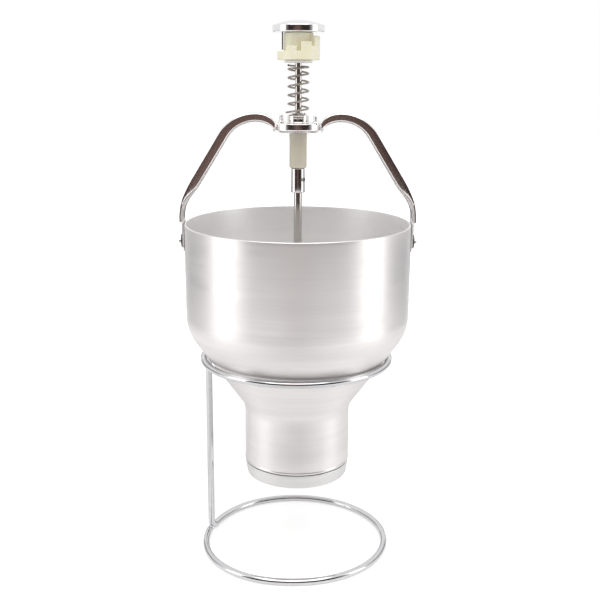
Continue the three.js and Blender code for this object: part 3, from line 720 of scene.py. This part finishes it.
def handle():
    """The plate, both arms and a boss at each screw as one casting."""
    low, high = plate_bottom - plate_sink, plate_top - plate_sink
    plate_bore = 5.9
    bevel_width, bevel_height = 2.2, 2
    boss_radius = 2.9
    boss_top = plate_top + 0.6
    plate_profile = softened([
        (plate_bore, low),
        (plate_radius - bevel_width, low, broad_edge),
        (plate_radius, low + bevel_height, 1.6),
        (plate_radius, high, even_edge),
        (plate_bore, high),
    ])
    boss_profile = softened([
        (0, high - 1),
        (boss_radius, high - 1),
        (boss_radius, boss_top, 1.4),
        (0, boss_top),
    ], closed=False)
    pieces = [(spun_points(plate_profile, 128), grid_faces(len(plate_profile), 128, True))]
    for side in (1, -1):
        arm = handle_arm(side)
        pieces.append((arm, capped(*arm.shape[:2])))
    for sign in (1, -1):
        boss = spun_points(boss_profile, 40) + screw_place(sign)
        pieces.append((boss, grid_faces(len(boss_profile), 40)))
    points, faces, offset = [], [], 0
    for shape, quads in pieces:
        flat = shape.reshape(-1, 3)
        points.append(flat)
        faces += [[index + offset for index in face] for face in quads]
        offset += len(flat)
    return np.concatenate(points), faces


handle_points, handle_faces = handle()
solid("arched_handle", handle_points, handle_faces, cast, "hopper", ["handle_bar"], 40)

# Pivots: a pin with its head inside the hopper and a pressed ring on its outer end, on both sides
pin_head_radius = 4.6
pin_head_flat = 2.4
pin_head_crown = 95.9
pin_head_edge = pin_head_crown + 1
pin_head_seat = 98
pin_end = lug_face + 3.85
push_ring_bore = 2.1
push_ring_radius = 6.1
push_ring_crown = 3.4
push_ring_inner, push_ring_outer, push_ring_top = -0.45, 0.35, 0.75
push_ring_lean = 2.5
for word, side in (("left", -1), ("right", 1)):
    lie = Matrix.Rotation(side * math.pi / 2, 4, "Y")
    turned(f"pin_{word}", [
        (0, pin_head_crown),
        (pin_head_flat, pin_head_crown, 1.2),
        (pin_head_radius, pin_head_edge, 0.9),
        (pin_head_radius, pin_head_seat, crisp_edge),
        (pivot_pin_radius, pin_head_seat),
        (pivot_pin_radius, pin_end - 0.15, even_edge),
        (0, pin_end),
    ], steel, "hopper", [f"pivot_pin_{word}"], 40, False, (0, 0, pivot_height), lie)
    lean = Matrix.Rotation(side * math.radians(90 + push_ring_lean), 4, "Y")
    turned(f"push_ring_{word}", [
        (push_ring_bore, push_ring_inner, hair_edge),
        (push_ring_radius, push_ring_inner, crisp_edge),
        (push_ring_radius, push_ring_outer, fine_edge),
        (push_ring_crown, push_ring_top, small_edge),
        (push_ring_bore, push_ring_top + 0.05, hair_edge),
    ], black_steel, "hopper", [f"pivot_retainer_{word}"], 40, True,
        (side * (lug_face + 0.8), 0, pivot_height), lean)

# Plate screws
screw_radius = 1.9
screw_top = plate_top + 5.6
for word, sign in (("right", 1), ("left", -1)):
    turned(f"post_screw_{word}", [
        (0, plate_bottom - seat_gap),
        (screw_radius, plate_bottom - seat_gap, fine_edge),
        (screw_radius, screw_top - 0.1, soft_edge),
        (0, screw_top),
    ], satin, "hopper", [f"plate_screw_{word}"], 32, False, screw_place(sign))

# Guide bush, whose heights are counted from the plate's top as it shows, and the sleeve on its spigot
bush_foot = plate_top - plate_sink
bush_foot_height = 1.2
bush_foot_radius = 9.9
bush_head_radius = 9.3
bush_groove_radius = 9
bush_groove_bottom = bush_foot + 3.9
bush_groove_top = bush_foot + 4.9
bush_cone_foot = bush_foot + 6.1
bush_cone_radius = 6.4
turned("grooved_bush", [
    (rod_bore, bush_spigot_bottom),
    (bush_spigot_radius, bush_spigot_bottom, small_edge),
    (bush_spigot_radius, bush_foot),
    (bush_foot_radius, bush_foot, fine_edge),
    (bush_head_radius, bush_foot + bush_foot_height, fine_edge),
    (bush_head_radius, bush_groove_bottom, hair_edge),
    (bush_groove_radius, bush_groove_bottom + groove_slope, hair_edge),
    (bush_groove_radius, bush_groove_top - groove_slope, hair_edge),
    (bush_head_radius, bush_groove_top, hair_edge),
    (bush_head_radius, bush_cone_foot, even_edge),
    (bush_cone_radius, bush_top, round_edge),
    (rod_bore, bush_top, fine_edge),
], turned_cast, "hopper", ["guide_bush"], 96)
sleeve_radius = 7.65
sleeve_socket = bush_spigot_radius + 0.15
turned("nylon_sleeve", [
    (rod_bore, sleeve_bottom, small_edge),
    (sleeve_radius, sleeve_bottom, even_edge),
    (sleeve_radius, sleeve_top, fine_edge),
    (sleeve_socket, sleeve_top),
    (sleeve_socket, bush_spigot_bottom - seat_gap),
    (rod_bore, bush_spigot_bottom - seat_gap),
], grey_nylon, "hopper", ["guide_sleeve"], 96)


# Return spring, in two lengths: the lower one is carried by the hopper, the upper one by the plunger

def spring_height(turns):
    """Height of the wire's middle after some turns: an even pitch, then one closing turn."""
    open_turns = spring_turns - 1
    pitch = (spring_length - spring_end_pitch) / open_turns
    closing = spring_length - (spring_turns - turns) * spring_end_pitch
    return np.where(turns > open_turns, closing, turns * pitch)


def spring_piece(name, start, end):
    """A stretch of the coil between two counts of turns. The wire's lower end stands out a little."""
    end_flare = 1.6
    flare_turns = 0.12
    turns = np.linspace(start, end, int((end - start) * 64) + 1)
    angle = math.pi + 2 * math.pi * turns
    radius = spring_mean_radius + end_flare * np.clip(1 - turns / flare_turns, 0, 1) ** 2
    path = about_axis(radius, angle, spring_bottom + spring_height(turns))
    points = bar(path, outward(path), spring_wire, 14)
    return solid(name, points, capped(*points.shape[:2]), dark_steel, "hopper")


split_turns = 3.1
lower_coil = spring_piece("spring_lower_turns", 0, split_turns)
upper_coil = spring_piece("spring_upper_turns", split_turns, spring_turns)
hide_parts("return_spring")
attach(upper_coil, "plunger")
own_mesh(lower_coil)
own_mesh(upper_coil)

# Spring seat
washer_corners = ring_corners(rod_bore, washer_radius, washer_bottom, washer_bottom + washer_thickness,
                              crisp_edge, soft_edge, soft_edge, crisp_edge)
turned("spring_seat", washer_corners, white_nylon, "washer", ["spring_washer"], 96)


# Size selector: a core with a stair of treads round it

def selector():
    """Columns of one profile round the axis. The tread's height changes from one edge to the next, and
    two columns meet at each edge."""
    edge_gap = 0.02
    column_offset = 0.37
    core_rise = 0.3
    tread_chamfer = small_edge
    chamfer = even_edge
    edges = np.array(tread_edges, float)
    even = np.linspace(-180, 180, 180, endpoint=False) + column_offset
    angle = np.sort(np.concatenate([even, edges - edge_gap, edges + edge_gap]))
    heights = np.array((lowest_tread,) + tread_heights)
    ones = np.ones_like(angle)
    foot = selector_bottom * ones
    tread = selector_bottom + heights[np.searchsorted(edges, angle)]
    top = (selector_bottom + selector_core_height + core_rise) * ones
    profile = [
        (rod_bore * ones, foot),
        ((selector_radius - chamfer) * ones, foot),
        (selector_radius * ones, foot + chamfer),
        (selector_radius * ones, tread - tread_chamfer),
        ((selector_radius - tread_chamfer) * ones, tread),
        (selector_core * ones, tread),
        (selector_core * ones, top - chamfer),
        ((selector_core - chamfer) * ones, top),
        (rod_bore * ones, top),
    ]
    r, z = np.array(profile).swapaxes(0, 1)
    return about_axis(r, np.radians(angle), z)


selector_points = selector()
selector_faces = grid_faces(*selector_points.shape[:2], True)
solid("stepped_selector", selector_points, selector_faces, cream, "selector", ["size_selector"], 30)


# Knob
dome_rise = 4.6
dome_reach = 20.8
knob_rim_height = 5.7
knob_socket_depth = 6.2
knob_edge = 0.9
press_fit = 0.1
rim_top = knob_bottom + knob_rim_height
dome_radius = (knob_radius ** 2 + dome_rise ** 2) / (2 * dome_rise)
dome_centre = rim_top + dome_rise - dome_radius
dome = [(r, dome_centre + math.sqrt(dome_radius ** 2 - r ** 2)) for r in np.linspace(dome_reach, 0, 18)]
turned("domed_knob", [
    (0, knob_bottom + knob_socket_depth),
    (upper_rod_radius + press_fit, knob_bottom + knob_socket_depth),
    (upper_rod_radius + press_fit, knob_bottom),
    (knob_radius, knob_bottom, knob_edge),
    (knob_radius, rim_top + 0.1, knob_edge),
    *dome,
], bright, "plunger", ["press_knob"], 160, False)

# Stop pin
stop_pin_radius = 0.65
stop_pin_bottom = selector_bottom + lowest_tread + 1
stop_pin_top = knob_bottom + 2
stop_pin_place = about_axis(knob_pin_circle, knob_pin_angle, 0)
stop_pin_corners = ring_corners(0, stop_pin_radius, stop_pin_bottom, stop_pin_top, 0, 0.25, 0, 0)
turned("stop_pin", stop_pin_corners, dark_steel, "plunger", ["knob_pin"], 24, False, stop_pin_place)

# Guide rod
guide_rod_bottom = coupling_top - 7.2
guide_rod_top = knob_bottom + 6
guide_rod_corners = ring_corners(0, upper_rod_radius, guide_rod_bottom, guide_rod_top, 0, small_edge, 0, 0)
turned("guide_rod", guide_rod_corners, steel, "plunger", ["upper_rod"], 64, False)

# Coupling
coupling_radius = 6.3
coupling_step_top, coupling_step_bottom = coupling_top - 7.5, coupling_top - 8
turned("rod_coupling", [
    (upper_rod_radius + press_fit, coupling_top, fine_edge),
    (upper_rod_radius + press_fit, coupling_step_top),
    (lower_rod_radius + press_fit, coupling_step_bottom),
    (lower_rod_radius + press_fit, coupling_bottom, fine_edge),
    (coupling_radius, coupling_bottom, round_edge),
    (coupling_radius, coupling_top, round_edge),
], bright, "plunger", ["coupling"], 96)

# Set screw
set_screw_inner = 4
set_screw_outer = 7.2
set_screw_radius = 1.9
set_screw_socket_radius = 0.95
set_screw_socket_floor = 6.5
set_screw_height = coupling_bottom + 11.7
set_screw_lie = Matrix.Rotation(screw_angle, 4, "Z") @ Matrix.Rotation(math.pi / 2, 4, "Y")
turned("set_screw", [
    (0, set_screw_socket_floor),
    (set_screw_socket_radius, set_screw_socket_floor),
    (set_screw_socket_radius, set_screw_outer, hair_edge),
    (set_screw_radius, set_screw_outer, fine_edge),
    (set_screw_radius, set_screw_inner),
    (0, set_screw_inner),
], dark_steel, "plunger", ["coupling_screw"], 32, False, (0, 0, set_screw_height), set_screw_lie)

# Long rod, down to the end of the lower nut
lower_nut_height = 4.2
lower_nut_bottom = disc_bottom - seat_gap - lower_nut_height
long_rod_top = coupling_bottom + 13
long_rod_corners = ring_corners(0, lower_rod_radius, lower_nut_bottom, long_rod_top, 0, even_edge, 0, 0)
turned("long_rod", long_rod_corners, steel, "plunger", ["lower_rod"], 64, False)


# Plunger head

head_bore = lower_rod_radius + 0.1
disc_thickness = 3
piston_thickness = 5
piston_groove_depth = 0.5
piston_groove_foot, piston_groove_head = piston_bottom + 1.6, piston_bottom + 3
upper_nut_height = 4.5
spacer_radius = 6
piston_top = piston_bottom + piston_thickness
disc_top = disc_bottom + disc_thickness


def hex_nut(name, bottom, height, node_name):
    """A six-sided nut with its corners turned down at both ends. Its reach is the flats' distance over the
    cosine of the angle from the middle of the nearest flat."""
    flats_radius = 6
    turned_radius = 6.1
    chamfer_share = 0.6
    least_chamfer = 0.05
    angle = np.linspace(0, 2 * math.pi, 72, endpoint=False)
    flat = flats_radius / np.cos(np.mod(angle + math.pi / 6, math.pi / 3) - math.pi / 6)
    edge = np.minimum(flat, turned_radius)
    inner = head_bore * np.ones_like(angle)
    r = np.stack([inner, edge, flat, flat, edge, inner])
    chamfer = (flat - edge) * chamfer_share + least_chamfer
    foot, head = 0 * angle, height + 0 * angle
    z = np.stack([foot, foot, chamfer, height - chamfer, head, head]) + bottom
    points = about_axis(r, angle, z)
    return solid(name, points, grid_faces(6, 72, True), steel, "plunger", [node_name], 25)


hex_nut("upper_nut", piston_top + seat_gap, upper_nut_height, "piston_nut")
turned("metering_piston", [
    (head_bore, piston_bottom),
    (plunger_radius, piston_bottom, small_edge),
    (plunger_radius, piston_groove_foot, crisp_edge),
    (plunger_radius - piston_groove_depth, piston_groove_foot + groove_slope, crisp_edge),
    (plunger_radius - piston_groove_depth, piston_groove_head - groove_slope, crisp_edge),
    (plunger_radius, piston_groove_head, crisp_edge),
    (plunger_radius - 0.4, piston_top, broad_edge),
    (head_bore, piston_top),
], white_nylon, "plunger", ["piston"], 128)
spacer_corners = ring_corners(head_bore, spacer_radius, disc_top + seat_gap, piston_bottom - seat_gap,
                              0, small_edge, small_edge, 0)
turned("spacer_tube", spacer_corners, steel, "plunger", ["piston_spacer"], 64)
disc_corners = ring_corners(head_bore, plunger_radius, disc_bottom, disc_top, 0, small_edge, soft_edge, 0)
turned("closing_plate", disc_corners, steel, "plunger", ["closing_disc"], 128)
hex_nut("lower_nut", lower_nut_bottom, lower_nut_height, "end_nut")


# Camera: in front of the axis, looking down 13.4 degrees. Distances in metres, angles in radians
picture_width = 600
focal_length_px = 938.7
middle_px = 297.4
camera_distance = 0.8252
camera_height = 0.43294
camera_dip = 0.2339
camera_roll = 0.0045
camera = bpy.data.cameras.new("camera")
camera.sensor_width = 36
camera.lens = focal_length_px / picture_width * camera.sensor_width
camera.shift_x = (picture_width / 2 - middle_px) / picture_width
camera.clip_start = 0.01
viewer = bpy.data.objects.new("camera", camera)
bpy.context.scene.collection.objects.link(viewer)
viewer.matrix_world = (
    Matrix.Translation((0, -camera_distance, camera_height))
    @ Matrix.Rotation(math.pi / 2 - camera_dip, 4, "X")
    @ Matrix.Rotation(camera_roll, 4, "Z")
)
bpy.context.scene.camera = viewer


# Room, in metres: a pale floor, a white surround, soft boxes at both sides and above, and cards that only
# show in glossy surfaces: the dark side of the room behind the camera, a grey flag at each side and a
# low one at the back

def staged(name, points, faces, material):
    """A piece of the room."""
    mesh = bpy.data.meshes.new(name)
    mesh.from_pydata(np.asarray(points, float).reshape(-1, 3).tolist(), [], faces)
    mesh.materials.append(material)
    made = bpy.data.objects.new(name, mesh)
    bpy.context.scene.collection.objects.link(made)
    return made


def seen_directly(tree):
    """1 for rays from the camera, from gloss and through glass."""
    rays = node(tree, "LightPath", {}).outputs
    some = arithmetic(tree, "MAXIMUM", rays["Is Camera Ray"], rays["Is Glossy Ray"])
    return arithmetic(tree, "MAXIMUM", some, rays["Is Transmission Ray"])


def floor_material():
    """Pale floor that keeps the object's shadow and fades into the white surround away from it. In gloss it
    is darker below the object and lighter to the sides and far away."""
    material, tree, shader = new_material("pale_floor", (0.8, 0.8, 0.8), 0.9, 0)
    material.cycles.emission_sampling = "NONE"
    place = object_place(tree)
    reach = node(tree, "VectorMath", {0: place}, operation="LENGTH").outputs["Value"]
    aside = arithmetic(tree, "ABSOLUTE", node(tree, "SeparateXYZ", {0: place}).outputs["X"])
    rays = node(tree, "LightPath", {}).outputs
    shown = arithmetic(tree, "MULTIPLY", rays["Is Camera Ray"], ramp(tree, reach, 0.5, 1, 0.25, 1.2))
    mirrored = ramp(tree, reach, 0.38, 0, 0.1, 0.22)
    for value, most, start, end in ((aside, 0.3, 0.06, 0.3), (reach, 0.6, 0.55, 0.9)):
        mirrored = arithmetic(tree, "ADD", mirrored, ramp(tree, value, 0, most, start, end))
    mirrored = arithmetic(tree, "MULTIPLY", rays["Is Glossy Ray"], mirrored)
    set_inputs(tree, shader, {
        "Specular IOR Level": 0,
        "Emission Color": (1, 1, 1, 1),
        "Emission Strength": arithmetic(tree, "ADD", shown, mirrored),
    })
    return material


def card_material(name, radius, low, high, start, end, dark, edge, foot, head, warm=None):
    """A glow that is dark in the middle of a card and grows white towards its two ends, its foot and its
    head. A warm colour, if it has one, lies a little to the left of its middle."""
    warm_shift = 0.08
    warm_range = 0.08, 0.45
    white = (1, 1, 1)
    material = bpy.data.materials.new(name)
    material.use_nodes = True
    material.cycles.emission_sampling = "NONE"
    tree = material.node_tree
    tree.nodes.clear()
    place = object_place(tree)
    axes = node(tree, "SeparateXYZ", {0: place}).outputs
    middle = math.radians((start + end) / 2)
    chord = (math.cos(middle) / radius, math.sin(middle) / radius, 0)
    off = node(tree, "VectorMath", {0: place, 1: chord}, operation="DOT_PRODUCT").outputs["Value"]
    off = arithmetic(tree, "ABSOLUTE", off)
    half = math.radians((end - start) / 2)
    side = ramp(tree, off, 0, 1, math.sin(half - math.radians(edge)), math.sin(half))
    side = arithmetic(tree, "POWER", side, 2)
    base = ramp(tree, axes["Z"], 1, 0, low, low + foot)
    top = ramp(tree, axes["Z"], 0, 1, high - head, high)
    share = arithmetic(tree, "MAXIMUM", arithmetic(tree, "MAXIMUM", side, base), top)
    colour = mixed(tree, share, dark, white)
    if warm:
        aside = arithmetic(tree, "ABSOLUTE", arithmetic(tree, "ADD", axes["X"], warm_shift))
        tint = mixed(tree, ramp(tree, aside, 0, 1, *warm_range), warm, dark)
        tree.links.new(tint, colour.node.inputs["A"])
    glow = node(tree, "Emission", {"Color": colour, "Strength": 1})
    node(tree, "OutputMaterial", {0: glow.outputs[0]})
    return material


def card(name, radius, low, high, start, end, **look):
    """A curved card round the axis, its angles counted from the camera's side, seen only in gloss."""
    steps = 48
    material = card_material(name, radius, low, high, start, end, **look)
    angle = np.radians(np.linspace(start, end, steps + 1) - 90)
    rows = [about_axis(radius, angle, height) for height in (low, high)]
    k = np.arange(steps)
    faces = np.stack([k, k + 1, k + steps + 2, k + steps + 1], -1).tolist()
    made = staged(name, np.concatenate(rows), faces, material)
    made.visible_camera = made.visible_diffuse = False
    made.visible_shadow = made.visible_transmission = False


def soft_box(name, place, size, turn, power):
    """A rectangular lamp."""
    light = bpy.data.lights.new(name, "AREA")
    light.shape = "RECTANGLE"
    light.size, light.size_y = size
    light.energy = power
    made = bpy.data.objects.new(name, light)
    bpy.context.scene.collection.objects.link(made)
    made.matrix_world = Matrix.Translation(place) @ turn


floor_half = 6
floor_corners = [(x * floor_half, y * floor_half, 0) for x, y in ((-1, -1), (1, -1), (1, 1), (-1, 1))]
staged("floor", floor_corners, [[0, 1, 2, 3]], floor_material())

card("dark_room", radius=1.15, low=0.01, high=0.92, start=-70, end=72, dark=(0.035, 0.026, 0.023),
     edge=30, foot=0.04, head=0.14, warm=(0.15, 0.098, 0.085))
for word, side in (("left", -1), ("right", 1)):
    card(f"side_flag_{word}", radius=0.8, low=-0.01, high=0.46, start=side * 118 - 32, end=side * 118 + 32,
         dark=(0.4, 0.4, 0.41), edge=22, foot=0.02, head=0.3)
card("low_back", radius=1.2, low=-0.01, high=0.3, start=145, end=215, dark=(0.25, 0.25, 0.26),
     edge=14, foot=0.02, head=0.12)

side_box_reach = 1.1
side_box_height = 0.48
for word, side, degrees in (("left", -1, 70), ("right", 1, 76)):
    azimuth = math.radians(degrees) * side
    place = (side_box_reach * math.sin(azimuth), -side_box_reach * math.cos(azimuth), side_box_height)
    turn = Matrix.Rotation(azimuth, 4, "Z") @ Matrix.Rotation(math.pi / 2, 4, "X")
    soft_box(f"side_box_{word}", place, (0.48, 0.95), turn, 1.5)
top_turn = Matrix.Rotation(math.radians(20), 4, "X")
soft_box("top_box", (0, -0.45, 1.45), (1.4, 1.1), top_turn, 9.5)

# Surround: full white where it is seen, dimmer where it lights
world = bpy.data.worlds.new("surround")
bpy.context.scene.world = world
world.use_nodes = True
tree = world.node_tree
tree.nodes.clear()
strength = ramp(tree, seen_directly(tree), 0.58, 1.0, 0, 1)
back = node(tree, "Background", {"Color": (1, 1, 1, 1), "Strength": strength})
node(tree, "OutputWorld", {0: back.outputs[0]})

bpy.context.scene.view_settings.view_transform = "Standard"
